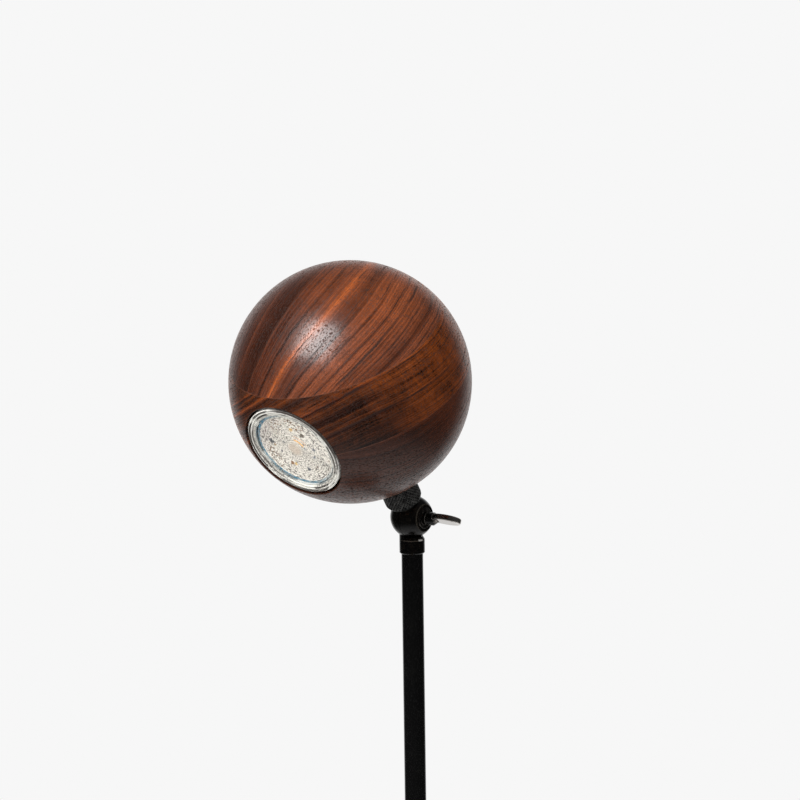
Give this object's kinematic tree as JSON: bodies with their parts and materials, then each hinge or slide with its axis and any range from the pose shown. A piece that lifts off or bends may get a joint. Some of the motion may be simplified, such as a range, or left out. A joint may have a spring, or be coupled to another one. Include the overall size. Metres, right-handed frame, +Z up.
{
  "type": "magnetic-foot ball desk lamp",
  "caption": "Desk lamp: wooden ball head with a GU10 lamp, thumb-key swivel and slim black stem, whose steel foot ball turns and leans on a magnet in a heavy round base.",
  "frame": {"origin": "middle of the underside of the round base, on the table", "axes": "+Z up the stem, -Y the way the lamp shines, +X the side with the thumb key"},
  "size_m": [0.15, 0.1811, 0.4684],
  "materials": {
    "walnut_top": "satin oiled walnut",
    "walnut_middle": "satin oiled walnut, strong figure",
    "walnut_lower": "satin oiled walnut, dark",
    "brass": "bright",
    "zinc_steel": "zinc plated",
    "nickel_steel": "nickel plated",
    "black_knurl": "satin black, knurled",
    "black_satin": "satin black",
    "black_gloss": "gloss black",
    "black_chrome": "gloss black",
    "black_iron": "black powder coat",
    "black_knob": "satin black, knurled",
    "fibre": "vulcanised fibre",
    "ceramic_white": "unglazed",
    "lead_black": "smooth",
    "clear_glass": "clear",
    "lens_clear": "clear, with a moulded pattern",
    "led_board": "white solder mask",
    "led_phosphor": "phosphor",
    "aluminium": "plain",
    "white_plastic": "matt",
    "circuit_green": "circuit board",
    "nylon_black": "smooth",
    "ferrite": "sintered magnet",
    "rubber_black": "matt",
    "black_plastic": "moulded"
  },
  "bodies": {
    "base": {"base_body": "black_iron", "base_cover": "zinc_steel", "cover_screws": "zinc_steel", "base_pad": "rubber_black", "magnet_pot": "zinc_steel", "magnet_ring": "ferrite", "pot_spacer": "nylon_black", "switch_body": "black_plastic", "switch_nut": "nickel_steel", "cable_gland": "black_plastic", "gland_nut": "black_plastic", "terminal_block": "white_plastic", "block_screw": "zinc_steel", "earth_screw": "brass", "base_leads": "lead_black"},
    "seat": {"seat_ring": "nylon_black"},
    "stem": {"foot_ball": "black_chrome", "foot_sleeve": "zinc_steel", "foot_set_screw": "black_satin", "stem_tube": "black_gloss", "stem_lead": "lead_black", "swivel_lower_half": "black_satin", "friction_washer": "fibre"},
    "key": {"thumb_key": "black_satin", "key_washer": "black_satin"},
    "neck": {"swivel_upper_half": "black_satin", "threaded_nipple": "zinc_steel"},
    "ring": {"knurled_ring": "black_knurl"},
    "head": {"head_top_board": "walnut_top", "head_middle_board": "walnut_middle", "head_lower_board": "walnut_lower", "neck_insert": "brass", "lampholder": "ceramic_white", "lampholder_contacts": "brass", "lampholder_screws": "zinc_steel", "head_lead": "lead_black"},
    "bulb": {"bulb_glass": "clear_glass", "bulb_rim": "clear_glass", "bulb_lens": "lens_clear", "bulb_led_board": "led_board", "bulb_led_chips": "led_phosphor", "bulb_heat_sink": "aluminium", "bulb_base": "white_plastic", "bulb_driver": "circuit_green", "bulb_pins": "nickel_steel"},
    "knob": {"switch_shaft": "nickel_steel", "switch_knob": "black_knob"}
  },
  "joints": [
    {"name": "stem_turn", "type": "hinge", "parent": "base", "child": "seat", "pos_m": [0, 0, 0.032], "axis": [0, 0, 1], "range_deg": [-175, 175]},
    {"name": "stem_lean", "type": "hinge", "parent": "seat", "child": "stem", "pos_m": [0, 0, 0.032], "axis": [1, 0, 0], "range_deg": [-15, 15]},
    {"name": "head_tilt", "type": "hinge", "parent": "stem", "child": "neck", "pos_m": [0, 0, 0.34], "axis": [1, 0, 0], "range_deg": [-123, 57]},
    {"name": "head_turn", "type": "hinge", "parent": "neck", "child": "head", "pos_m": [0, -0.04608, 0.41095], "axis": [0, -0.5446, 0.8387], "range_deg": [-170, 170]},
    {"name": "key_turn", "type": "hinge", "parent": "stem", "child": "key", "pos_m": [0, 0, 0.34], "axis": [1, 0, 0], "range_deg": [-90, 270]},
    {"name": "ring_turn", "type": "hinge", "parent": "neck", "child": "ring", "pos_m": [0, 0, 0.34], "axis": [0, -0.5446, 0.8387], "range_deg": [-180, 180]},
    {"name": "bulb_twist", "type": "hinge", "parent": "head", "child": "bulb", "pos_m": [0, -0.04608, 0.41095], "axis": [0, -0.8387, -0.5446], "range_deg": [0, 20]},
    {"name": "knob_turn", "type": "hinge", "parent": "base", "child": "knob", "pos_m": [0, -0.05, 0.026], "axis": [0, 0, -1], "range_deg": [0, 270]}
  ]
}
